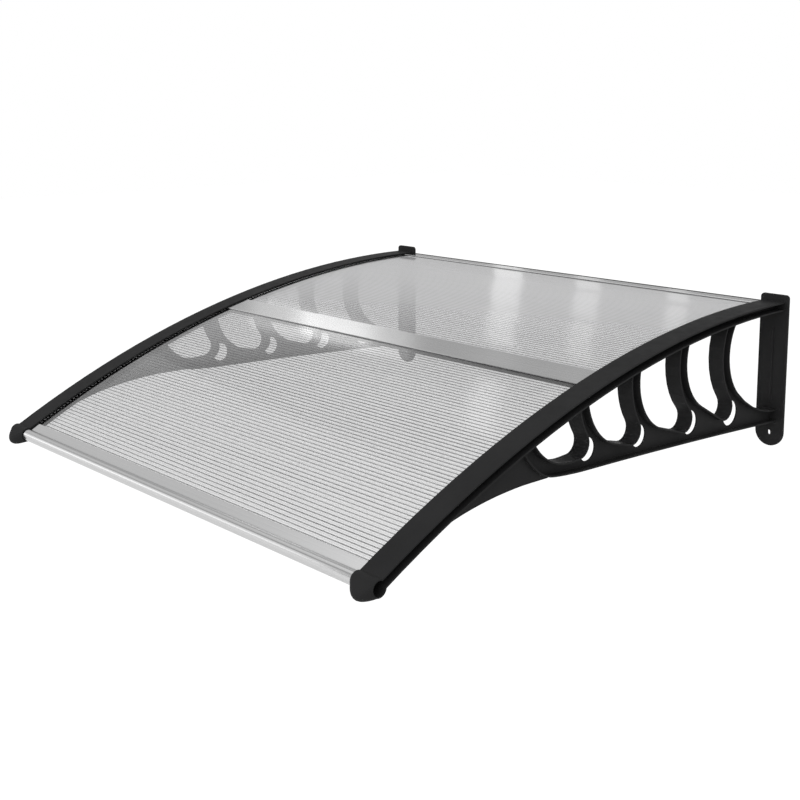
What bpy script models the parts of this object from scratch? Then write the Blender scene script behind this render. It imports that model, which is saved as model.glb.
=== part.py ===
"""A door canopy: two black moulded brackets, two twin-wall sheets and three aluminium bars.

Metres. X runs to the right along the wall, Y into the wall, Z up. Y is 0 at the wall face,
and the origin is the centre of the wall seal's back. The side view is drawn in Y and Z, with
Z measured from the foot of a 280 mm wall plate until the last step moves everything down.
"""

import math

import bmesh
import bpy
import mathutils

# Overall
BRACKET_SPACING = 0.9604    # centre to centre of the two brackets
FIT_GAP = 0.0003            # play between pieces that touch

# Wall plate of the bracket
PLATE_WIDTH = 0.0552
PLATE_HEIGHT = 0.280
PLATE_RISE = 0.0120         # how far the plate stands above the rail's crest
PLATE_THICKNESS = 0.005
PLATE_CORNER = 0.0065
PLATE_EDGE = 0.0011
SCREW_HOLE_HEIGHT = 0.025
SCREW_HOLE_RADIUS = 0.0032
SCREW_HOLE_RISE = 0.0034
PLATE_RIB_WIDTH = 0.0034
PLATE_RIB_DEPTH = 0.0016
PLATE_RIB_FOOT = 0.0800
PLATE_RIB_TOP = 0.2220
PLATE_ROUND_STEPS = 18
CORNER_STEPS = 5
HOLE_STEPS = 8

# Rail of the bracket: an I-section that follows a circle
RAIL_RADIUS = 2.0229
RAIL_CREST_Y = -0.0224
RAIL_CREST_Z = 0.2680
RAIL_WIDTH = 0.0426
RAIL_HEIGHT = 0.0161
RAIL_FLANGE = 0.0026
WEB_THICKNESS = 0.0030
RAIL_STEPS = 25
ARM_STEPS = 6

# Nose of the bracket: a neck round the socket, with a bulge ahead of and below its middle
NOSE_Y = -0.9835
SOCKET_WALL = 0.0018
NECK_PROUD = 0.0003
BULGE_SHIFT_Y = -0.0146
BULGE_SHIFT_Z = -0.0079
BULGE_RADIUS = 0.0103
BULGE_HALF_LENGTH = 0.0206
NOSE_STEPS = 10
NOSE_SEGMENTS = 26

# Web openings
RIM_THICKNESS = 0.0025
RIM_HALF_WIDTH = 0.0140
# The web's cuts and the rims' two faces run up into the rail's lower flange, each by its own
# amount, so that no two of them end in one face
CUT_SINK = 0.0009
RIM_INNER_SINK = 0.0012
RIM_OUTER_SINK = 0.0019
FRONT_STEPS = 14
ROOF_STEPS = 4
FOOT_STEPS = 8
STRUT_STEPS = 7
FLOOR_STEPS = 5
WINDOW_STEPS = 28
STRUT_WIDTH = 0.0220
FOOT_RADIUS = 0.0195
# Each opening: centre and radius of its front edge, and the height of its foot's centre.
# The last one has no foot: its floor runs on to the plate.
OPENINGS = (
    (-0.5955, 0.1960, 0.0985, 0.1180),
    (-0.4603, 0.1958, 0.0958, 0.1130),
    (-0.3347, 0.1912, 0.0918, 0.1050),
    (-0.2070, 0.2003, 0.0910, 0.1030),
    (-0.0766, 0.1929, 0.0931, None),
)
LAST_FLOOR_RADIUS = 0.2150
LAST_FLOOR_Y = 0.0036
# Moon-shaped windows in the web: centre and radius of the round edge
WINDOWS = (
    (-0.5405, 0.1027, 0.0184),
    (-0.4098, 0.0981, 0.0185),
    (-0.2648, 0.0923, 0.0204),
    (-0.1417, 0.0862, 0.0227),
)

# Lower flange of the bracket: a very flat arc that sinks this far from its crest to the wall
ARM_CREST_Y = -1.1667
ARM_CREST_Z = 0.0870
ARM_DROP = 0.0403
ARM_FRONT_Y = -0.5730
# Distance from the front end of the flat arc to the nose for which the next two curves are
# drawn. They stretch with it. Each point is (distance ahead of that end, depth below the rail).
FRONT_REACH = 0.4105
# Where the lower flange turns up to the rail, as the front of the first strut
FLANGE_BEND = (
    (0.0293, 0.0997),
    (0.0570, 0.0884),
    (0.0760, 0.0785),
    (0.0910, 0.0663),
    (0.1059, 0.0502),
    (0.1170, 0.0360),
    (0.1245, 0.0243),
    (0.1292, 0.0148),
)
# Thick part of the web ahead of the bend, down to where it runs into the rail
SLAB_HALF_WIDTH = 0.0080
SLAB_EDGE = (
    (0.0670, 0.0854),
    (0.0930, 0.0766),
    (0.1200, 0.0672),
    (0.1454, 0.0591),
    (0.1790, 0.0491),
    (0.2116, 0.0404),
    (0.2435, 0.0328),
    (0.2745, 0.0267),
    (0.3060, 0.0217),
    (0.3450, 0.0158),
)

# Twin-wall sheet
SHEET_THICKNESS = 0.0060
SHEET_SKIN = 0.0007
SHEET_RIB = 0.0006
FLUTE_PITCH = 0.0074
SHEET_END_MARGIN = 0.0015

# Bars
BAR_LIP_THICKNESS = 0.00185
BAR_WALL = 0.0016
TUBE_RADIUS = 0.0105
TUBE_WALL = 0.0014
FRONT_LIP_REACH = 0.0275
MIDDLE_BAR_WIDTH = 0.0500
REAR_BAR_DEPTH = 0.0270
LIP_BEAD = 0.0006
TUBE_STEPS = 30
BORE_STEPS = 28

# Wall seal
SEAL_DEPTH = 0.0047
SEAL_HEIGHT = 0.0116
SEAL_TOP_DEPTH = 0.0026
SEAL_TOP_DROP = 0.0016

RAIL_CENTRE_Z = RAIL_CREST_Z - RAIL_RADIUS
RAIL_CENTRE = (RAIL_CREST_Y, RAIL_CENTRE_Z)
SLOT_TOP = RAIL_FLANGE
SLOT_BOTTOM = RAIL_HEIGHT - RAIL_FLANGE
ROOF_DEPTH = RAIL_HEIGHT - RAIL_FLANGE / 2
SHEET_MIDDLE = (SLOT_TOP + SLOT_BOTTOM) / 2
NOSE_ANGLE = math.asin((RAIL_CREST_Y - NOSE_Y) / (RAIL_RADIUS - SHEET_MIDDLE))
NOSE_CENTRE = (NOSE_Y, RAIL_CENTRE_Z + (RAIL_RADIUS - SHEET_MIDDLE) * math.cos(NOSE_ANGLE))
SOCKET_RADIUS = TUBE_RADIUS + FIT_GAP
NECK_RADIUS = SOCKET_RADIUS + SOCKET_WALL
PLATE_FRONT_Y = -PLATE_THICKNESS
PLATE_TOP = RAIL_CREST_Z + PLATE_RISE
PLATE_FOOT = PLATE_TOP - PLATE_HEIGHT
ARM_RADIUS = (ARM_CREST_Y**2 + ARM_DROP**2) / (2 * ARM_DROP)
INSIDE_HALF_LENGTH = BRACKET_SPACING / 2 - WEB_THICKNESS / 2 - FIT_GAP
LIP_TOP = SHEET_THICKNESS / 2 + FIT_GAP + BAR_LIP_THICKNESS


def arc_angle(y, depth=0.0):
    """Angle of a point at this Y and depth, 0 at the crest and growing to the front."""
    return math.asin((RAIL_CREST_Y - y) / (RAIL_RADIUS - depth))


def on_arc(angle, depth):
    """Side-view point on the rail circle, this far below its outer surface."""
    radius = RAIL_RADIUS - depth
    return (
        RAIL_CREST_Y - radius * math.sin(angle),
        RAIL_CENTRE_Z + radius * math.cos(angle),
    )


def steps(first, last, count):
    return [first + (last - first) * i / count for i in range(count + 1)]


def circle_points(centre, radius, first, last, count):
    return [
        (centre[0] + radius * math.cos(a), centre[1] + radius * math.sin(a))
        for a in steps(first, last, count)
    ]


def make_object(name, mesh_bm):
    bmesh.ops.recalc_face_normals(mesh_bm, faces=mesh_bm.faces)
    mesh = bpy.data.meshes.new(name)
    mesh_bm.to_mesh(mesh)
    mesh_bm.free()
    obj = bpy.data.objects.new(name, mesh)
    bpy.context.scene.collection.objects.link(obj)
    return obj


def loft(name, loops, closed=False):
    """Skins equal loops of 3-D points in order; open ends are capped."""
    bm = bmesh.new()
    rows = [[bm.verts.new(point) for point in loop] for loop in loops]
    pairs = list(zip(rows, rows[1:]))
    if closed:
        pairs.append((rows[-1], rows[0]))
    for low, high in pairs:
        count = len(low)
        for i in range(count):
            j = (i + 1) % count
            bm.faces.new((low[i], low[j], high[j], high[i]))
    if not closed:
        bm.faces.new(rows[0])
        bm.faces.new(rows[-1])
    return make_object(name, bm)


def prism(name, outline, half_width):
    """A side-view outline given this half width across X."""
    return loft(name, [[(side * half_width, y, z) for y, z in outline] for side in (-1, 1)])


def ring_prism(name, inner, outer, half_width):
    """The band between two equal side-view outlines."""
    loops = [
        [
            (-half_width, *b),
            (half_width, *b),
            (half_width, *a),
            (-half_width, *a),
        ]
        for a, b in zip(inner, outer)
    ]
    return loft(name, loops, closed=True)


def combine(target, other, operation):
    """Boolean of two objects; the other one is used up."""
    modifier = target.modifiers.new("step", "BOOLEAN")
    modifier.operation = operation
    modifier.solver = "EXACT"
    modifier.object = other
    graph = bpy.context.evaluated_depsgraph_get()
    mesh = bpy.data.meshes.new_from_object(target.evaluated_get(graph))
    target.modifiers.clear()
    old = target.data
    target.data = mesh
    bpy.data.meshes.remove(old)
    used = other.data
    bpy.data.objects.remove(other)
    bpy.data.meshes.remove(used)
    return target


def front_crossing(first, first_radius, second, second_radius):
    """Where two circles cross, taking the crossing nearer the front of the canopy."""
    dy = second[0] - first[0]
    dz = second[1] - first[1]
    apart = math.hypot(dy, dz)
    along = (first_radius**2 - second_radius**2 + apart**2) / (2 * apart)
    off = math.sqrt(first_radius**2 - along**2)
    points = [
        (
            first[0] + (along * dy - side * off * dz) / apart,
            first[1] + (along * dz + side * off * dy) / apart,
        )
        for side in (-1, 1)
    ]
    return min(points)


def direction(start, end):
    return math.atan2(end[1] - start[1], end[0] - start[0]) % (2 * math.pi)


def rail_height(y, depth):
    """Height of the circle this far below the rail's outer surface."""
    return RAIL_CENTRE_Z + math.sqrt((RAIL_RADIUS - depth) ** 2 - (y - RAIL_CREST_Y) ** 2)


def strut_arc(index):
    """The front face of the strut ahead of an opening: a circle about the opening's centre."""
    y, z, radius, _ = OPENINGS[index]
    return (y, z), radius + STRUT_WIDTH


def foot_end(index, grow, roof_depth):
    """Rear side of an opening that ends on a strut, from its round foot up to the rail."""
    y, z, radius, height = OPENINGS[index]
    strut_centre, strut_radius = strut_arc(index + 1)
    reach = strut_radius + FOOT_RADIUS
    foot_y = strut_centre[0] - math.sqrt(reach**2 - (strut_centre[1] - height) ** 2)
    foot = (foot_y, height)
    apart = math.hypot(foot_y - y, height - z)
    floor = direction((y, z), foot) - math.acos((radius - FOOT_RADIUS) / apart)
    touch = direction(foot, strut_centre) + 2 * math.pi
    strut_radius -= grow
    roof = front_crossing(strut_centre, strut_radius, RAIL_CENTRE, RAIL_RADIUS - roof_depth)
    low = direction(strut_centre, foot)
    high = direction(strut_centre, roof)
    rear = circle_points(foot, FOOT_RADIUS + grow, floor, touch, FOOT_STEPS)
    rear += circle_points(strut_centre, strut_radius, low, high, STRUT_STEPS)[1:]
    return floor, rear


def plate_end(index, grow, roof_depth):
    """Rear side of the last opening: a wide arc down to the plate, then up inside it."""
    y, z, radius, _ = OPENINGS[index]
    apart = LAST_FLOOR_RADIUS - radius
    centre = (LAST_FLOOR_Y, z + math.sqrt(apart**2 - (LAST_FLOOR_Y - y) ** 2))
    floor = direction(centre, (y, z))
    wide = LAST_FLOOR_RADIUS + grow
    rear_y = PLATE_FRONT_Y + (RIM_THICKNESS + grow) / 3
    stop = 2 * math.pi - math.acos((rear_y - centre[0]) / wide)
    rear = circle_points(centre, wide, floor, stop, FLOOR_STEPS)[1:]
    rear.append((rear_y, rail_height(rear_y, roof_depth)))
    return floor, rear


def opening_outline(index, grow, roof_depth):
    """Outline of a web opening, moved outward by grow and closed inside the rail's flange."""
    y, z, radius, foot_height = OPENINGS[index]
    end = plate_end if foot_height is None else foot_end
    floor, rear = end(index, grow, roof_depth)
    roof = front_crossing((y, z), radius + grow, RAIL_CENTRE, RAIL_RADIUS - roof_depth)
    roof_angle = direction((y, z), roof)
    points = circle_points((y, z), radius + grow, roof_angle, floor, FRONT_STEPS)
    points += rear
    angles = steps(arc_angle(points[-1][0]), arc_angle(roof[0]), ROOF_STEPS)
    points += [on_arc(a, roof_depth) for a in angles[1:-1]]
    return points


def arm_edge(y):
    """Underside of the lower flange, a very flat arc."""
    return ARM_CREST_Z - ARM_RADIUS + math.sqrt(ARM_RADIUS**2 - (y - ARM_CREST_Y) ** 2)


def smooth_curve(points, per_span):
    """Rounds a run of points with a Catmull-Rom curve."""
    padded = [points[0], *points, points[-1]]
    result = []
    for p0, p1, p2, p3 in zip(padded, padded[1:], padded[2:], padded[3:]):
        for i in range(per_span):
            t = i / per_span
            result.append(
                tuple(
                    0.5
                    * (
                        2 * b
                        + (c - a) * t
                        + (2 * a - 5 * b + 4 * c - d) * t * t
                        + (3 * b - a - 3 * c + d) * t**3
                    )
                    for a, b, c, d in zip(p0, p1, p2, p3)
                )
            )
    result.append(points[-1])
    return result


def ahead_of_arm(points):
    """Side-view points from (distance ahead of the flat arc's end, depth below the rail)."""
    stretch = (ARM_FRONT_Y - NOSE_Y) / FRONT_REACH
    placed = []
    for distance, depth in points:
        y = ARM_FRONT_Y - distance * stretch
        placed.append((y, rail_height(y, depth)))
    return placed


def flange_curve():
    """Outer side of the lower flange, from inside the plate to inside the rail."""
    rear = PLATE_FRONT_Y + PLATE_THICKNESS / 2
    arm = [(y, arm_edge(y)) for y in steps(rear, ARM_FRONT_Y, ARM_STEPS)]
    return arm[:-1] + smooth_curve([arm[-1], *ahead_of_arm(FLANGE_BEND)], 2)


def offset(points, distance):
    """Moves a side-view run of points sideways, towards the inside of the bracket."""
    moved = []
    for i, (y, z) in enumerate(points):
        before = points[max(i - 1, 0)]
        after = points[min(i + 1, len(points) - 1)]
        dy = after[0] - before[0]
        dz = after[1] - before[1]
        length = math.hypot(dy, dz)
        moved.append((y + distance * dz / length, z - distance * dy / length))
    return moved


def roof_between(front_y, rear_y, count):
    """Points inside the rail's lower flange, front to rear."""
    angles = steps(arc_angle(front_y), arc_angle(rear_y), count)
    return [on_arc(a, ROOF_DEPTH) for a in angles]


def web_foot():
    """Lower edge of the web: the middle of the lower flange, stopped where it meets the roof."""
    middle = offset(flange_curve(), RIM_THICKNESS / 2)
    foot = []
    for y, z in middle:
        below = rail_height(y, ROOF_DEPTH) - z
        if below <= 0:
            last_y, last_z = foot[-1]
            last_below = rail_height(last_y, ROOF_DEPTH) - last_z
            share = last_below / (last_below - below)
            foot.append((last_y + share * (y - last_y), last_z + share * (z - last_z)))
            break
        foot.append((y, z))
    return foot


def web_outline():
    """The thin web: from the middle of the lower flange up into the rail, and into the plate."""
    foot = web_foot()
    return foot + roof_between(foot[-1][0], foot[0][0], RAIL_STEPS)[1:]


def slab_outline():
    """The thick part of the web between the turned-up flange and the nose."""
    edge = smooth_curve(ahead_of_arm(SLAB_EDGE), 2)
    rear = [point for point in reversed(web_foot()) if point[0] < edge[0][0]]
    return edge + roof_between(edge[-1][0], rear[0][0], ARM_STEPS)[:-1] + rear


def plate_outline(inset):
    """Front view of the wall plate: rounded top corners and a half-round foot."""
    half = PLATE_WIDTH / 2 - inset
    corner = PLATE_CORNER - inset
    side = half - corner
    height = PLATE_TOP - inset - corner
    foot = (0.0, PLATE_FOOT + PLATE_WIDTH / 2)
    quarter = math.pi / 2
    points = circle_points(foot, half, math.pi, 2 * math.pi, PLATE_ROUND_STEPS)
    points += circle_points((side, height), corner, 0, quarter, CORNER_STEPS)
    points += circle_points((-side, height), corner, quarter, math.pi, CORNER_STEPS)
    return points


def bracket_plate():
    loops = [
        [(x, y, z) for x, z in plate_outline(inset)]
        for y, inset in (
            (0.0, 0.0),
            (PLATE_FRONT_Y + PLATE_EDGE, 0.0),
            (PLATE_FRONT_Y + PLATE_EDGE * 0.3, PLATE_EDGE * 0.3),
            (PLATE_FRONT_Y, PLATE_EDGE),
        )
    ]
    plate = loft("plate", loops)
    low = (0.0, PLATE_FOOT + SCREW_HOLE_HEIGHT - SCREW_HOLE_RISE / 2)
    high = (0.0, PLATE_FOOT + SCREW_HOLE_HEIGHT + SCREW_HOLE_RISE / 2)
    slot = circle_points(low, SCREW_HOLE_RADIUS, math.pi, 2 * math.pi, HOLE_STEPS)
    slot += circle_points(high, SCREW_HOLE_RADIUS, 0, math.pi, HOLE_STEPS)
    hole = loft(
        "hole",
        [[(x, y, z) for x, z in slot] for y in (-2 * PLATE_THICKNESS, PLATE_THICKNESS)],
    )
    return combine(plate, hole, "DIFFERENCE")


def along_rail(section, rear_y, front_y, count):
    """Sweeps a section of (across X, depth) between two places, given by the Y of the sheet."""
    angles = steps(arc_angle(rear_y), arc_angle(front_y, SHEET_MIDDLE), count)
    return loft(
        "rail", [[(x, *on_arc(angle, depth)) for x, depth in section] for angle in angles]
    )


def bracket_rail():
    """The I-section: two flanges and the web between them."""
    wide = RAIL_WIDTH / 2
    web = WEB_THICKNESS / 2
    right = [
        (wide, 0.0),
        (wide, SLOT_TOP),
        (web, SLOT_TOP),
        (web, SLOT_BOTTOM),
        (wide, SLOT_BOTTOM),
        (wide, RAIL_HEIGHT),
    ]
    left = [(-x, depth) for x, depth in reversed(right)]
    return along_rail(right + left, PLATE_FRONT_Y + PLATE_THICKNESS / 2, NOSE_Y, RAIL_STEPS)


def slot_in_nose(side):
    """Clears the nose where the rail's slot runs in, a little into web and flanges."""
    root = side * WEB_THICKNESS / 3
    outside = side * RAIL_WIDTH
    top = SLOT_TOP - RAIL_FLANGE / 4
    bottom = SLOT_BOTTOM + RAIL_FLANGE / 4
    section = [(root, top), (outside, top), (outside, bottom), (root, bottom)]
    return along_rail(section, NOSE_Y + 2 * NECK_RADIUS, NOSE_Y + WEB_THICKNESS, 2)


def socket_cutter(side):
    """The round socket on one side, from its mouth to just inside the web."""
    loops = [
        [
            (side * x, NOSE_CENTRE[0] + y, NOSE_CENTRE[1] + z)
            for y, z in circle_points((0, 0), SOCKET_RADIUS, 0, 2 * math.pi, NOSE_SEGMENTS)[:-1]
        ]
        for x in (WEB_THICKNESS / 2 - FIT_GAP, RAIL_WIDTH)
    ]
    return loft("socket", loops)


def bracket_nose():
    """The neck and its bulge: at each step across, the hull of the neck and the bulge circle."""
    end = RAIL_WIDTH / 2 + NECK_PROUD
    neck = NECK_RADIUS
    loops = []
    across = [-end, *steps(-BULGE_HALF_LENGTH, BULGE_HALF_LENGTH, NOSE_STEPS), end]
    for x in across:
        swell = max(0.0, 1 - (x / BULGE_HALF_LENGTH) ** 2)
        shift = (BULGE_SHIFT_Y * swell, BULGE_SHIFT_Z * swell)
        radius = neck + (BULGE_RADIUS - neck) * swell
        loop = []
        for a in steps(0, 2 * math.pi, NOSE_SEGMENTS)[:-1]:
            away = (math.cos(a), math.sin(a))
            ahead = BULGE_SHIFT_Y * away[0] + BULGE_SHIFT_Z * away[1] + BULGE_RADIUS > neck
            size = radius if ahead else neck
            moved = shift if ahead else (0.0, 0.0)
            y = NOSE_CENTRE[0] + moved[0] + size * away[0]
            z = NOSE_CENTRE[1] + moved[1] + size * away[1]
            loop.append((x, y, z))
        loops.append(loop)
    nose = loft("nose", loops)
    for side in (-1, 1):
        nose = combine(nose, slot_in_nose(side), "DIFFERENCE")
    return nose


def build_bracket():
    bracket = prism("bracket", web_outline(), WEB_THICKNESS / 2)
    for index in range(len(OPENINGS)):
        cut = opening_outline(index, RIM_THICKNESS / 2, RAIL_HEIGHT - CUT_SINK)
        bracket = combine(bracket, prism("cut", cut, RAIL_WIDTH), "DIFFERENCE")
    for y, z, radius in WINDOWS:
        cut = circle_points((y, z), radius, 0, 2 * math.pi, WINDOW_STEPS)[:-1]
        bracket = combine(bracket, prism("cut", cut, RAIL_WIDTH), "DIFFERENCE")
    bracket = combine(bracket, bracket_rail(), "UNION")
    bracket = combine(bracket, bracket_plate(), "UNION")
    curve = flange_curve()
    flange = curve + offset(curve, RIM_THICKNESS)[::-1]
    bracket = combine(bracket, prism("flange", flange, RIM_HALF_WIDTH), "UNION")
    bracket = combine(bracket, prism("slab", slab_outline(), SLAB_HALF_WIDTH), "UNION")
    for index in range(len(OPENINGS)):
        inner = opening_outline(index, 0.0, RAIL_HEIGHT - RIM_INNER_SINK)
        outer = opening_outline(index, RIM_THICKNESS, RAIL_HEIGHT - RIM_OUTER_SINK)
        rim = ring_prism("rim", inner, outer, RIM_HALF_WIDTH)
        bracket = combine(bracket, rim, "UNION")
    plate_rib = [
        (PLATE_FRONT_Y - PLATE_RIB_DEPTH, PLATE_RIB_FOOT + PLATE_RIB_DEPTH * 2),
        (PLATE_FRONT_Y + PLATE_RIB_DEPTH, PLATE_RIB_FOOT),
        (PLATE_FRONT_Y + PLATE_RIB_DEPTH, PLATE_RIB_TOP),
        (PLATE_FRONT_Y - PLATE_RIB_DEPTH, PLATE_RIB_TOP - PLATE_RIB_DEPTH * 2),
    ]
    bracket = combine(bracket, prism("rib", plate_rib, PLATE_RIB_WIDTH / 2), "UNION")
    bracket = combine(bracket, bracket_nose(), "UNION")
    for side in (-1, 1):
        bracket = combine(bracket, socket_cutter(side), "DIFFERENCE")
    return bracket


def local_frame(angle):
    """Maps (forward along the arc, up from the sheet's middle) to the side view at an angle."""
    y, z = on_arc(angle, SHEET_MIDDLE)
    forward = (-math.cos(angle), -math.sin(angle))
    up = (-math.sin(angle), math.cos(angle))

    def place(ahead, rise):
        return (
            y + forward[0] * ahead + up[0] * rise,
            z + forward[1] * ahead + up[1] * rise,
        )

    return place


def capped_tube(name, outline, hole, half_width):
    """A prism with one hole along it."""
    bm = bmesh.new()
    rings = []
    for side in (-1, 1):
        pair = [
            [bm.verts.new((side * half_width, y, z)) for y, z in points]
            for points in (outline, hole)
        ]
        rings.append(pair)
    for loop in (0, 1):
        low = rings[0][loop]
        high = rings[1][loop]
        for i in range(len(low)):
            j = (i + 1) % len(low)
            bm.faces.new((low[i], low[j], high[j], high[i]))
    for pair in rings:
        edges = []
        for ring in pair:
            for i in range(len(ring)):
                edges.append(bm.edges.get((ring[i], ring[(i + 1) % len(ring)])))
        bmesh.ops.triangle_fill(bm, edges=edges, use_beauty=True)
    return make_object(name, bm)


def build_front_bar():
    """Round tube with a channel behind it that takes the front edge of the sheet."""
    place = local_frame(NOSE_ANGLE)
    lip_low = SHEET_THICKNESS / 2 + FIT_GAP
    tip = -FRONT_LIP_REACH
    root = -math.sqrt(TUBE_RADIUS**2 - LIP_TOP**2)
    start = math.atan2(LIP_TOP, root)
    outline = [place(tip, LIP_TOP - LIP_BEAD), place(tip + LIP_BEAD, LIP_TOP)]
    for a in steps(start, -start, TUBE_STEPS):
        outline.append(place(TUBE_RADIUS * math.cos(a), TUBE_RADIUS * math.sin(a)))
    outline += [
        place(tip + LIP_BEAD, -LIP_TOP),
        place(tip, LIP_BEAD - LIP_TOP),
        place(tip, -lip_low),
        place(root - BAR_WALL, -lip_low),
        place(root - BAR_WALL, lip_low),
        place(tip, lip_low),
    ]
    bore_radius = TUBE_RADIUS - TUBE_WALL
    bore = [
        place(bore_radius * math.cos(a), bore_radius * math.sin(a))
        for a in steps(0, 2 * math.pi, BORE_STEPS)[:-1]
    ]
    return capped_tube("front_bar", outline, bore, INSIDE_HALF_LENGTH)


def middle_angle():
    return (NOSE_ANGLE + arc_angle(PLATE_FRONT_Y)) / 2


def build_middle_bar():
    """H-section: two lips above, two below, one wall between the sheets."""
    place = local_frame(middle_angle())
    half = MIDDLE_BAR_WIDTH / 2
    lip_low = SHEET_THICKNESS / 2 + FIT_GAP
    wall = BAR_WALL / 2
    quarter = [
        (wall, lip_low),
        (half, lip_low),
        (half, LIP_TOP - LIP_BEAD),
        (half - LIP_BEAD, LIP_TOP),
    ]
    ahead_low = [(a, -r) for a, r in reversed(quarter)]
    behind = [(-a, r) for a, r in reversed(quarter)]
    behind_low = [(-a, -r) for a, r in quarter]
    section = quarter + behind + behind_low + ahead_low
    return prism("middle_bar", [place(a, r) for a, r in section], INSIDE_HALF_LENGTH)


def build_rear_bar():
    """Channel that closes the wall edge of the rear sheet."""
    angle = arc_angle(PLATE_FRONT_Y - FIT_GAP)
    place = local_frame(angle)
    lip_low = SHEET_THICKNESS / 2 + FIT_GAP
    reach = REAR_BAR_DEPTH
    section = [
        (0.0, LIP_TOP),
        (reach - LIP_BEAD, LIP_TOP),
        (reach, LIP_TOP - LIP_BEAD),
        (reach, lip_low),
        (BAR_WALL, lip_low),
        (BAR_WALL, -lip_low),
        (reach, -lip_low),
        (reach, LIP_BEAD - LIP_TOP),
        (reach - LIP_BEAD, -LIP_TOP),
        (0.0, -LIP_TOP),
    ]
    return prism("rear_bar", [place(a, r) for a, r in section], INSIDE_HALF_LENGTH)


def build_seal():
    """Strip between the rear bar and the wall, reaching from plate to plate."""
    place = local_frame(arc_angle(PLATE_FRONT_Y))
    _, middle = place(0.0, 0.0)
    half = SEAL_HEIGHT / 2
    section = [
        (0.0, middle - half),
        (0.0, middle + half),
        (-SEAL_TOP_DEPTH, middle + half),
        (-SEAL_DEPTH, middle + half - SEAL_TOP_DROP),
        (-SEAL_DEPTH, middle - half),
    ]
    length = BRACKET_SPACING / 2 - PLATE_WIDTH / 2 - FIT_GAP
    return prism("wall_seal", section, length)


def build_sheet(name, rear_angle, front_angle):
    """Twin-wall sheet between two angles, its flutes open at both side edges."""
    radius = RAIL_RADIUS - SHEET_MIDDLE
    length = (front_angle - rear_angle) * radius
    count = int((length - 2 * SHEET_END_MARGIN) / FLUTE_PITCH)
    margin = (length - count * FLUTE_PITCH) / 2
    top = SHEET_MIDDLE - SHEET_THICKNESS / 2
    bottom = SHEET_MIDDLE + SHEET_THICKNESS / 2
    stations = [rear_angle]
    for i in range(count):
        start = rear_angle + (margin + i * FLUTE_PITCH + SHEET_RIB / 2) / radius
        stations += [start, start + (FLUTE_PITCH - SHEET_RIB) / radius]
    stations.append(front_angle)
    depths = (top, top + SHEET_SKIN, bottom - SHEET_SKIN, bottom)
    bm = bmesh.new()
    grid = [
        [
            [bm.verts.new((side * INSIDE_HALF_LENGTH, *on_arc(a, depth))) for depth in depths]
            for a in stations
        ]
        for side in (-1, 1)
    ]
    left, right = grid

    def side_pair(i, j, low, high):
        for column in grid:
            bm.faces.new((column[i][low], column[j][low], column[j][high], column[i][high]))

    for i in range(len(stations) - 1):
        j = i + 1
        side_pair(i, j, 0, 1)
        side_pair(i, j, 2, 3)
        bm.faces.new((left[i][0], left[j][0], right[j][0], right[i][0]))
        bm.faces.new((left[i][3], left[j][3], right[j][3], right[i][3]))
        is_flute = i % 2 == 1
        if is_flute:
            for level in (1, 2):
                bm.faces.new((left[i][level], left[j][level], right[j][level], right[i][level]))
            for k in (i, j):
                bm.faces.new((left[k][1], left[k][2], right[k][2], right[k][1]))
        else:
            side_pair(i, j, 1, 2)
    for k in (0, len(stations) - 1):
        for low in range(3):
            bm.faces.new((left[k][low], left[k][low + 1], right[k][low + 1], right[k][low]))
    return make_object(name, bm)


def give_material(obj, name, color, metallic, roughness, **extra):
    material = bpy.data.materials.new(name)
    material.use_nodes = True
    shader = material.node_tree.nodes["Principled BSDF"]
    shader.inputs["Base Color"].default_value = color
    shader.inputs["Metallic"].default_value = metallic
    shader.inputs["Roughness"].default_value = roughness
    for socket, value in extra.items():
        shader.inputs[socket.replace("_", " ")].default_value = value
    obj.data.materials.clear()
    obj.data.materials.append(material)


def finish_object(obj, x, drop):
    """Moves the mesh into the row's frame and shades it."""
    obj.data.transform(mathutils.Matrix.Translation((x, 0.0, -drop)))
    for polygon in obj.data.polygons:
        polygon.use_smooth = True
    obj.data.set_sharp_from_angle(angle=math.radians(28))


def main():
    for obj in list(bpy.data.objects):
        bpy.data.objects.remove(obj)

    middle = middle_angle()
    radius = RAIL_RADIUS - SHEET_MIDDLE
    bar_gap = (BAR_WALL / 2 + FIT_GAP) / radius
    rear_stop = arc_angle(PLATE_FRONT_Y - FIT_GAP) + (BAR_WALL + FIT_GAP) / radius
    root = math.sqrt(TUBE_RADIUS**2 - LIP_TOP**2)
    front_stop = NOSE_ANGLE - (root + BAR_WALL + FIT_GAP) / radius
    _, drop = local_frame(arc_angle(PLATE_FRONT_Y))(0.0, 0.0)

    bracket = build_bracket()
    twin = bpy.data.objects.new("bracket_left", bracket.data.copy())
    bpy.context.scene.collection.objects.link(twin)
    bracket.name = "bracket_right"
    aluminium = (0.80, 0.80, 0.81, 1.0)
    clear = (0.93, 0.95, 0.96, 1.0)
    black = (0.018, 0.018, 0.019, 1.0)
    for obj, side in ((bracket, 1), (twin, -1)):
        finish_object(obj, side * BRACKET_SPACING / 2, drop)
        give_material(obj, obj.name + "_plastic", black, 0.0, 0.5)
    sheets = (
        build_sheet("sheet_rear", rear_stop, middle - bar_gap),
        build_sheet("sheet_front", middle + bar_gap, front_stop),
    )
    for sheet in sheets:
        finish_object(sheet, 0.0, drop)
        give_material(
            sheet, sheet.name + "_polycarbonate", clear, 0.0, 0.12, Transmission_Weight=0.9, IOR=1.58
        )
    for bar in (build_front_bar(), build_middle_bar(), build_rear_bar()):
        finish_object(bar, 0.0, drop)
        give_material(bar, bar.name + "_aluminium", aluminium, 1.0, 0.32)
    seal = build_seal()
    finish_object(seal, 0.0, drop)
    give_material(seal, "wall_seal_rubber", (0.10, 0.10, 0.105, 1.0), 0.0, 0.75)


main()
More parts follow.
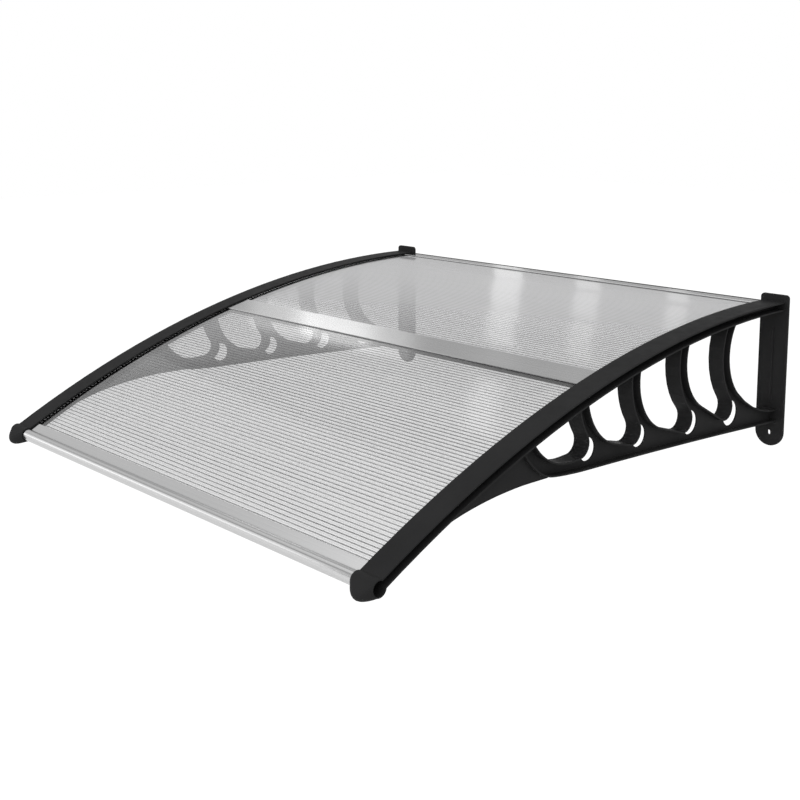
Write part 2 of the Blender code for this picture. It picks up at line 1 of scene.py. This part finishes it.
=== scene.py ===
"""A door canopy with its brackets, clear twin-wall sheets and metal bars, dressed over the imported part."""

import math

import bpy
from mathutils import Matrix, Vector


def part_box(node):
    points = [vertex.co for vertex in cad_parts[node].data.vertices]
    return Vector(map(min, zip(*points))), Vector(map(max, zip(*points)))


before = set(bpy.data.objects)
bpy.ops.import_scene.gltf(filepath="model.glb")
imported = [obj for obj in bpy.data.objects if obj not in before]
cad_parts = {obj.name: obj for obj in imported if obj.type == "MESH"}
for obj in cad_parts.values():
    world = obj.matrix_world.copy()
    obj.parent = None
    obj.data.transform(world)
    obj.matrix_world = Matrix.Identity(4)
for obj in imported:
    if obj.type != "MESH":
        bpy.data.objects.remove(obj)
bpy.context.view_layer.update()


# Brackets
# One black polypropylene moulding each: rail with two slots, fretted web, round nose and wall plate.
# The mould leaves a satin grain and small rounded edges. A screw through the plate fixes it.
MOULD_GRAIN_SIZE = 0.0007
MOULD_GRAIN_DEPTH = 0.00003
MOULD_GRAIN_STRENGTH = 0.55
MOULDED_EDGE_RADIUS = 0.0006
EDGE_SAMPLES = 6
BLACK_LIGHT = (0.0230, 0.0230, 0.0234, 1)
BLACK_DARK = (0.0195, 0.0195, 0.0199, 1)
BLACK_CLOUD_SCALE = 9.0
BLACK_CLOUD_RANGE = (0.35, 0.65)
# Painted highlight: the colour that the rounded edges turn to, paler than the black
PAINTED_EDGE_HIGHLIGHT = (0.040, 0.040, 0.041, 1)
EDGE_TURN = (0.995, 0.86)  # cosine between the rounded and the true face, where an edge starts and ends
EDGE_HIGHLIGHT_SHARE = 0.6
SATIN_SPECULAR = 0.04
SATIN_ROUGHNESS = (0.40, 0.52)
RUBBED_SCALE = 60.0
NOISE_RANGE = (0.3, 0.7)  # most of a noise texture's values lie between these
SOFT_DETAIL = 3.0
FINE_DETAIL = 4.0
GRAINY = 0.6


def add_node(material, kind, inputs=None, **settings):
    """A node of a material or the world. An input is a value, or another node's output to join."""
    made = material.node_tree.nodes.new(kind)
    for name, value in settings.items():
        setattr(made, name, value)
    for socket, value in (inputs or {}).items():
        if isinstance(value, bpy.types.NodeSocket):
            material.node_tree.links.new(value, made.inputs[socket])
        else:
            made.inputs[socket].default_value = value
    return made


def empty_material(name):
    material = bpy.data.materials.new(name)
    material.use_nodes = True
    material.node_tree.nodes.clear()
    return material


def object_place(material):
    return add_node(material, "ShaderNodeTexCoord").outputs["Object"]


def noise(material, vector, scale, detail, roughness=0.5):
    inputs = {"Vector": vector, "Scale": scale, "Detail": detail, "Roughness": roughness}
    return add_node(material, "ShaderNodeTexNoise", inputs).outputs["Fac"]


def spread(material, source, span, result=(0.0, 1.0), kind="LINEAR"):
    """Takes a node's output from one range to another, held at both ends."""
    inputs = {
        "Value": source,
        "From Min": span[0],
        "From Max": span[1],
        "To Min": result[0],
        "To Max": result[1],
    }
    ranged = add_node(material, "ShaderNodeMapRange", inputs, interpolation_type=kind)
    return ranged.outputs["Result"]


def two_tone(material, source, dark, pale, span=(0.0, 1.0)):
    """A Color Ramp from dark to pale over this span of a node's output."""
    ramp = add_node(material, "ShaderNodeValToRGB", {"Fac": source})
    for stop, position, color in zip(ramp.color_ramp.elements, span, (dark, pale)):
        stop.position = position
        stop.color = color
    return ramp.outputs["Color"]


def mixed_colors(material, share, first, second):
    """A Mix node has its colours on the inputs 6 and 7 and on the output 2."""
    inputs = {0: share, 6: first, 7: second}
    return add_node(material, "ShaderNodeMix", inputs, data_type="RGBA").outputs[2]


def bumped(material, height, strength, distance, normal=None):
    """The normal with this relief on it, over the face's own normal or over the one given."""
    inputs = {"Height": height, "Strength": strength, "Distance": distance}
    if normal:
        inputs["Normal"] = normal
    return add_node(material, "ShaderNodeBump", inputs).outputs["Normal"]


def finished(material, shader):
    add_node(material, "ShaderNodeOutputMaterial", {"Surface": shader})
    return material


def satin_black():
    material = empty_material("satin_black_moulding")
    place = object_place(material)
    cloud = noise(material, place, BLACK_CLOUD_SCALE, SOFT_DETAIL)
    tone = two_tone(material, cloud, BLACK_DARK, BLACK_LIGHT, BLACK_CLOUD_RANGE)
    rubbed = noise(material, place, RUBBED_SCALE, FINE_DETAIL)
    sheen = spread(material, rubbed, NOISE_RANGE, SATIN_ROUGHNESS)

    # Rounded edges, with a painted highlight: the base colour turns paler along them
    rounded = add_node(
        material, "ShaderNodeBevel", {"Radius": MOULDED_EDGE_RADIUS}, samples=EDGE_SAMPLES
    ).outputs["Normal"]
    true = add_node(material, "ShaderNodeNewGeometry").outputs["Normal"]
    turned = add_node(
        material, "ShaderNodeVectorMath", {0: rounded, 1: true}, operation="DOT_PRODUCT"
    ).outputs["Value"]
    edge = spread(material, turned, EDGE_TURN, (0.0, EDGE_HIGHLIGHT_SHARE))

    grain = noise(material, place, 1 / MOULD_GRAIN_SIZE, SOFT_DETAIL, GRAINY)
    shader = add_node(
        material,
        "ShaderNodeBsdfPrincipled",
        {
            "Base Color": mixed_colors(material, edge, tone, PAINTED_EDGE_HIGHLIGHT),
            "Roughness": sheen,
            "Specular IOR Level": SATIN_SPECULAR,
            "Normal": bumped(material, grain, MOULD_GRAIN_STRENGTH, MOULD_GRAIN_DEPTH, rounded),
        },
    )
    return finished(material, shader.outputs["BSDF"])


def dress(node, material):
    """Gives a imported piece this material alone."""
    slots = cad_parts[node].data.materials
    slots.clear()
    slots.append(material)


bracket_black = satin_black()
for node in ("bracket_left", "bracket_right"):
    dress(node, bracket_black)


# Twin-wall sheets
# Two extruded clear polycarbonate sheets, bent cold into the rails' slots. Ribs join their two thin
# skins and run from bracket to bracket, and the ribs' feet show as fine grey lines.
ARC_RADIUS = 2.01485
ARC_Y = -0.0224
SHEET_HALF = 0.0030
SKIN_REACH = 0.0004
FLUTE_PITCH = 0.0074
END_MARGIN = 0.0015
RIB_LINE = (0.21, 0.08)  # from a rib's middle, in flutes: where its line starts and where it is full
LINE_UNEVENNESS = (0.80, 1.0)
LINE_WANDER = (1.5, 60.0, 60.0)
LINE_DETAIL = 2.0
UNDERSIDE_LINES = 0.30
PANE_TINT = (0.925, 0.925, 0.927, 1)
LINE_TINT = (0.18, 0.18, 0.182, 1)
RIB_TINT = (0.965, 0.965, 0.965, 1)
HAZE_COLOR = (0.86, 0.86, 0.87, 1)
HAZE_LINE = (0.52, 0.52, 0.525, 1)
HAZE_FACING = (0.56, 0.85)
HAZE_SHARE = (0.03, 0.75)
RAIL_LIP_X = 0.4589
# Width of the painted shade along the rails' lips, where the haze fades out
RAIL_SHADE = 0.016
# Painted glints at the flutes' open ends, along the rails
GLINT_LENGTH = 0.0018
GLINT_START = 0.26
GLINT_SHARES = {"sheet_front": 0.25, "sheet_rear": 1.0}
GLOSS_AT_NORMAL = 0.07
GLOSS_RISE = 3.5
GLOSS_ROUGHNESS = 0.08
RIPPLE_STRENGTH = 0.30
RIPPLE_HEIGHT = 0.00002
WHITE = (1, 1, 1, 1)
arc_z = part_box("sheet_rear")[1].z - ARC_RADIUS - SHEET_HALF


def calc(material, operation, *operands):
    """The output of a Math node; an operand is a number or another node's output."""
    inputs = dict(enumerate(operands))
    return add_node(material, "ShaderNodeMath", inputs, operation=operation).outputs[0]


def mixed_shaders(material, share, first, second):
    inputs = {0: share, 1: first, 2: second}
    return add_node(material, "ShaderNodeMixShader", inputs).outputs["Shader"]


def sheet_span(node):
    """Smallest and largest angle of a sheet about the axis of its curve, 0 being straight up."""
    angles = [
        math.atan2(ARC_Y - v.co.y, v.co.z - arc_z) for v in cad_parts[node].data.vertices
    ]
    return min(angles), max(angles)


def around_curve(material, node, axes):
    """How far a point is from the nearest rib, in flutes, and how far above the sheet's middle."""
    rear, front = sheet_span(node)
    length = (front - rear) * ARC_RADIUS
    flutes = int((length - 2 * END_MARGIN) / FLUTE_PITCH)
    first_rib = rear + (length - flutes * FLUTE_PITCH) / 2 / ARC_RADIUS
    ahead = calc(material, "SUBTRACT", ARC_Y, axes["Y"])
    rise = calc(material, "SUBTRACT", axes["Z"], arc_z)
    angle = calc(material, "ARCTAN2", ahead, rise)
    along = calc(material, "SUBTRACT", angle, first_rib)
    flute = calc(material, "MULTIPLY", along, ARC_RADIUS / FLUTE_PITCH)
    to_rib = calc(material, "PINGPONG", flute, 0.5)
    across = calc(material, "MULTIPLY", ahead, ahead)
    up = calc(material, "MULTIPLY", rise, rise)
    radius = calc(material, "SQRT", calc(material, "ADD", across, up))
    return to_rib, calc(material, "SUBTRACT", radius, ARC_RADIUS)


def rib_lines(material, place, to_rib, from_middle):
    """The grey lines, soft at their edges, a little uneven, and weaker on the underside."""
    wander = add_node(material, "ShaderNodeMapping", {"Vector": place, "Scale": LINE_WANDER})
    uneven = noise(material, wander.outputs["Vector"], 1.0, LINE_DETAIL)
    strength = spread(material, uneven, NOISE_RANGE, LINE_UNEVENNESS)
    line = spread(material, to_rib, RIB_LINE, kind="SMOOTHSTEP")
    face = spread(material, from_middle, (-SHEET_HALF, SHEET_HALF), (UNDERSIDE_LINES, 1.0))
    return calc(material, "MULTIPLY", calc(material, "MULTIPLY", line, strength), face)


def clear_sheet(node, glint_share):
    material = empty_material("clear_" + node)
    place = object_place(material)
    axes = add_node(material, "ShaderNodeSeparateXYZ", {"Vector": place}).outputs
    to_rib, from_middle = around_curve(material, node, axes)
    shade = rib_lines(material, place, to_rib, from_middle)

    # Clear plastic, which turns hazy at a low angle, where the view passes through many ribs
    tint = mixed_colors(material, shade, PANE_TINT, LINE_TINT)
    pane = add_node(material, "ShaderNodeBsdfTransparent", {"Color": tint})
    milky = mixed_colors(material, shade, HAZE_COLOR, HAZE_LINE)
    haze = add_node(material, "ShaderNodeBsdfDiffuse", {"Color": milky})
    facing = add_node(material, "ShaderNodeLayerWeight").outputs["Facing"]
    ribs_crossed = spread(material, facing, HAZE_FACING, HAZE_SHARE, "SMOOTHSTEP")
    sideways = calc(material, "ABSOLUTE", axes["X"])
    # Painted shade under the rails' lips: the haze fades out near the rails, so the dark bracket behind
    # shows through
    rail_shade = (RAIL_LIP_X - RAIL_SHADE / 2, RAIL_LIP_X - RAIL_SHADE)
    clear_of_painted_rail_shade = spread(material, sideways, rail_shade, kind="SMOOTHSTEP")
    cloudy = calc(material, "MULTIPLY", ribs_crossed, clear_of_painted_rail_shade)

    # Painted glints at the open ends of the flutes along the rail: there the sheet turns fully hazy
    at_rail = calc(material, "GREATER_THAN", sideways, RAIL_LIP_X - GLINT_LENGTH)
    open_end = calc(material, "GREATER_THAN", to_rib, GLINT_START)
    seen_end = calc(material, "MULTIPLY", at_rail, open_end)
    glint = calc(material, "MULTIPLY", seen_end, glint_share)
    veiled = calc(material, "MAXIMUM", cloudy, glint)
    body = mixed_shaders(material, veiled, pane.outputs["BSDF"], haze.outputs["BSDF"])

    # The shine of the skin, rippled by the ribs' feet
    power = calc(material, "POWER", facing, GLOSS_RISE)
    gain = calc(material, "MULTIPLY_ADD", power, 1 - GLOSS_AT_NORMAL, GLOSS_AT_NORMAL)
    ripple = bumped(material, shade, RIPPLE_STRENGTH, RIPPLE_HEIGHT)
    gloss = add_node(
        material,
        "ShaderNodeBsdfAnisotropic",
        {"Color": WHITE, "Roughness": GLOSS_ROUGHNESS, "Normal": ripple},
    )
    skin = mixed_shaders(material, gain, body, gloss.outputs["BSDF"])

    # Faces inside the flutes only dim what is behind them
    inner = add_node(material, "ShaderNodeBsdfTransparent", {"Color": RIB_TINT})
    depth = calc(material, "ABSOLUTE", from_middle)
    outside = calc(material, "GREATER_THAN", depth, SHEET_HALF - SKIN_REACH)
    return finished(material, mixed_shaders(material, outside, inner.outputs["BSDF"], skin))


for node, glint_share in GLINT_SHARES.items():
    dress(node, clear_sheet(node, glint_share))


# Bars
# Three natural anodised aluminium extrusions: front tube with its channel, H-section, wall channel.
# The die leaves fine lines along them. They grip the sheets' edges, and the brackets hold their ends.
DIE_LINE_PITCH = 0.0009
DIE_LINE_DRIFT = 1.2
DIE_LINE_DEPTH = 0.00002
DIE_LINE_STRENGTH = 0.25
METAL_PALE = (0.80, 0.80, 0.80, 1)
METAL_DULL = (0.70, 0.70, 0.705, 1)
METAL_ROUGHNESS = (0.13, 0.19)
METAL_ANISOTROPY = 0.6
# Painted shade: the base colour darkens in corners and grooves, where other faces are near
PAINTED_CORNER_SHADE = (0.10, 0.10, 0.10, 1)
CORNER_REACH = 0.004
CORNER_SAMPLES = 8
CORNER_SHADE_RANGE = (0.92, 0.50)
CORNER_SHADE_SHARE = 0.85


def anodised():
    material = empty_material("natural_anodised_aluminium")
    along_bar = (DIE_LINE_DRIFT, 1 / DIE_LINE_PITCH, 1 / DIE_LINE_PITCH)
    drawn = add_node(
        material, "ShaderNodeMapping", {"Vector": object_place(material), "Scale": along_bar}
    )
    lines = noise(material, drawn.outputs["Vector"], 1.0, FINE_DETAIL, GRAINY)
    tone = two_tone(material, lines, METAL_DULL, METAL_PALE, NOISE_RANGE)
    # Painted shade in the corners and in the groove between the tube and its channel
    corner = add_node(
        material, "ShaderNodeAmbientOcclusion", {"Distance": CORNER_REACH}, samples=CORNER_SAMPLES
    )
    corner_shade = spread(material, corner.outputs["AO"], CORNER_SHADE_RANGE, (0.0, CORNER_SHADE_SHARE), "SMOOTHSTEP")
    round_bar = add_node(material, "ShaderNodeTangent", direction_type="RADIAL", axis="X")
    shader = add_node(
        material,
        "ShaderNodeBsdfPrincipled",
        {
            "Base Color": mixed_colors(material, corner_shade, tone, PAINTED_CORNER_SHADE),
            "Metallic": 1.0,
            "Roughness": spread(material, lines, NOISE_RANGE, METAL_ROUGHNESS),
            "Anisotropic": METAL_ANISOTROPY,
            "Tangent": round_bar.outputs["Tangent"],
            "Normal": bumped(material, lines, DIE_LINE_STRENGTH, DIE_LINE_DEPTH),
        },
    )
    return finished(material, shader.outputs["BSDF"])


bar_metal = anodised()
for node in ("front_bar", "middle_bar", "rear_bar"):
    dress(node, bar_metal)


# Wall seal
# A dark rubber strip along the wall edge, so that no water runs down behind the canopy. It is
# extruded, with a dull, slightly pitted skin, and is pressed flat by the wall.
RUBBER_DARK = (0.020, 0.020, 0.021, 1)
RUBBER_PALE = (0.045, 0.045, 0.046, 1)
RUBBER_ROUGHNESS = 0.75
PIT_SCALE = 700.0
PIT_STRENGTH = 0.5
PIT_DEPTH = 0.0001


def dull_rubber():
    material = empty_material("dull_rubber")
    pits = noise(material, object_place(material), PIT_SCALE, FINE_DETAIL)
    shader = add_node(
        material,
        "ShaderNodeBsdfPrincipled",
        {
            "Base Color": two_tone(material, pits, RUBBER_DARK, RUBBER_PALE),
            "Roughness": RUBBER_ROUGHNESS,
            "Normal": bumped(material, pits, PIT_STRENGTH, PIT_DEPTH),
        },
    )
    return finished(material, shader.outputs["BSDF"])


dress("wall_seal", dull_rubber())


# Studio
# A pale floor well below the canopy, which hangs in the air as in the photograph, and a soft sky. The
# camera sees both as white. Shiny faces see them partly grey, with bright lights on the left.
FLOOR_Z = -1.10
FLOOR_SIZE = 30.0
FLOOR_WHITE = (0.70, 0.70, 0.70, 1)
FLOOR_GLOW = 1.12
GLOW_SHARE = 0.9
GLOW_IN_SHINE = 0.20
SKY_GREY = (0.88, 0.88, 0.88, 1)
HORIZON_LEVEL = 0.42
CEILING_LEVEL = 0.85
SKY_LEVELS = ((0.0, 1.0), (0.10, HORIZON_LEVEL), (0.62, HORIZON_LEVEL), (0.80, CEILING_LEVEL))
LIGHT_AIM = Vector((0.0, -0.45, -0.05))
LIGHT_DISTANCE = 9.0
STRIP_LENGTH = 0.158
STRIP_LIFTS = (11, 23, 35, 56)


def floor_white():
    material = empty_material("floor_white")
    rays = add_node(material, "ShaderNodeLightPath").outputs
    shine = calc(material, "MULTIPLY", rays["Is Glossy Ray"], GLOW_IN_SHINE)
    direct = calc(material, "MAXIMUM", rays["Is Camera Ray"], rays["Is Transmission Ray"])
    seen = calc(material, "MAXIMUM", direct, shine)
    share = calc(material, "MULTIPLY", seen, GLOW_SHARE)
    paint = add_node(material, "ShaderNodeBsdfDiffuse", {"Color": FLOOR_WHITE})
    glow = add_node(material, "ShaderNodeEmission", {"Color": WHITE, "Strength": FLOOR_GLOW})
    mixed = mixed_shaders(material, share, paint.outputs["BSDF"], glow.outputs["Emission"])
    return finished(material, mixed)


def soft_sky():
    """Even grey for plain faces, darker at middle heights for shiny and clear ones, white to the camera."""
    world = bpy.data.worlds.new("studio")
    world.use_nodes = True
    world.node_tree.nodes.clear()
    rays = add_node(world, "ShaderNodeLightPath").outputs
    direction = add_node(world, "ShaderNodeTexCoord").outputs["Generated"]
    height = add_node(world, "ShaderNodeSeparateXYZ", {"Vector": direction}).outputs["Z"]
    ceiling = add_node(world, "ShaderNodeValToRGB", {"Fac": height})
    ceiling.color_ramp.interpolation = "EASE"
    while len(ceiling.color_ramp.elements) < len(SKY_LEVELS):
        ceiling.color_ramp.elements.new(1.0)
    for stop, (position, level) in zip(ceiling.color_ramp.elements, SKY_LEVELS):
        stop.position = position
        stop.color = (level, level, level, 1)
    shiny = calc(world, "MAXIMUM", rays["Is Glossy Ray"], rays["Is Transmission Ray"])
    lit = mixed_colors(world, shiny, SKY_GREY, ceiling.outputs["Color"])
    seen = mixed_colors(world, rays["Is Camera Ray"], lit, WHITE)
    sky = add_node(world, "ShaderNodeBackground", {"Color": seen})
    add_node(world, "ShaderNodeOutputWorld", {"Surface": sky.outputs["Background"]})
    return world


def soft_light(name, toward, width, length, radiance):
    """A flat light far off, its long side square to the bars; both sizes are per metre away."""
    away = Vector(toward).normalized()
    long_side = Vector((1, 0, 0)).cross(away).normalized()
    short_side = long_side.cross(away)
    data = bpy.data.lights.new(name, "AREA")
    data.shape = "RECTANGLE"
    data.size = width * LIGHT_DISTANCE
    data.size_y = length * LIGHT_DISTANCE
    data.energy = radiance * math.pi * data.size * data.size_y
    lamp = bpy.data.objects.new(name, data)
    bpy.context.scene.collection.objects.link(lamp)
    turned = Matrix((short_side, long_side, away)).transposed()
    lamp.matrix_world = Matrix.Translation(LIGHT_AIM + away * LIGHT_DISTANCE) @ turned.to_4x4()


bpy.ops.mesh.primitive_plane_add(size=FLOOR_SIZE, location=(0, 0, FLOOR_Z))
floor = bpy.context.object
floor.name = "floor"
floor.data.materials.append(floor_white())
bpy.context.scene.world = soft_sky()

# Each light's name, direction, width, length and radiance
lights = (
    ("overhead", (-0.25, -0.15, 0.96), 0.55, 0.55, 0.3),
    ("front_fill", (0.17, -0.91, 0.37), 1.10, 0.80, 1.1),
    ("bar_light", (-0.778, 0.432, 0.456), 0.014, 0.06, 1.50),
    ("bar_glow", (-0.754, 0.452, 0.477), 0.060, 0.07, 0.80),
    ("bar_haze", (-0.760, 0.443, 0.467), 0.170, 0.09, 0.46),
    ("tube_light", (-0.800, -0.564, 0.205), 0.400, 0.200, 0.55),
    ("tube_glow", (-0.800, -0.509, 0.318), 0.400, 0.360, 0.42),
    ("front_glow", (-0.800, 0.020, 0.600), 0.500, 0.400, 0.20),
)
for light in lights:
    soft_light(*light)

# Each strip's name, how far it stands to the side, its width and its radiance
strips = (
    ("left_strip", -0.642, 0.029, 0.44),
    ("middle_strip", -0.577, 0.025, 0.30),
    ("right_strip", -0.501, 0.020, 0.26),
)
for name, sideways, width, radiance in strips:
    reach = math.sqrt(1 - sideways**2)
    for lift in STRIP_LIFTS:
        angle = math.radians(lift)
        toward = (sideways, reach * math.cos(angle), reach * math.sin(angle))
        soft_light(f"{name}_{lift}", toward, width, STRIP_LENGTH, radiance)


# Camera
# It stands in front and to the right, a little above the canopy, as in the photograph. Its frame is
# shifted down a little, so that the canopy stays in it without more tilt.
CAMERA_PLACE = (1.5684, -1.9509, 0.3697)
CAMERA_TILT = 81.7141
CAMERA_TURN = 46.7670
CAMERA_LENS = 54.027
CAMERA_SENSOR = 36.0
CAMERA_SHIFT = -0.16
MOST_CLEAR_FACES = 40
camera_data = bpy.data.cameras.new("camera")
camera_data.sensor_width = CAMERA_SENSOR
camera_data.lens = CAMERA_LENS
camera_data.shift_y = CAMERA_SHIFT
camera = bpy.data.objects.new("camera", camera_data)
bpy.context.scene.collection.objects.link(camera)
camera.location = CAMERA_PLACE
camera.rotation_euler = (math.radians(CAMERA_TILT), 0, math.radians(CAMERA_TURN))
bpy.context.scene.camera = camera
bpy.context.scene.view_settings.view_transform = "Standard"
bpy.context.scene.cycles.transparent_max_bounces = MOST_CLEAR_FACES
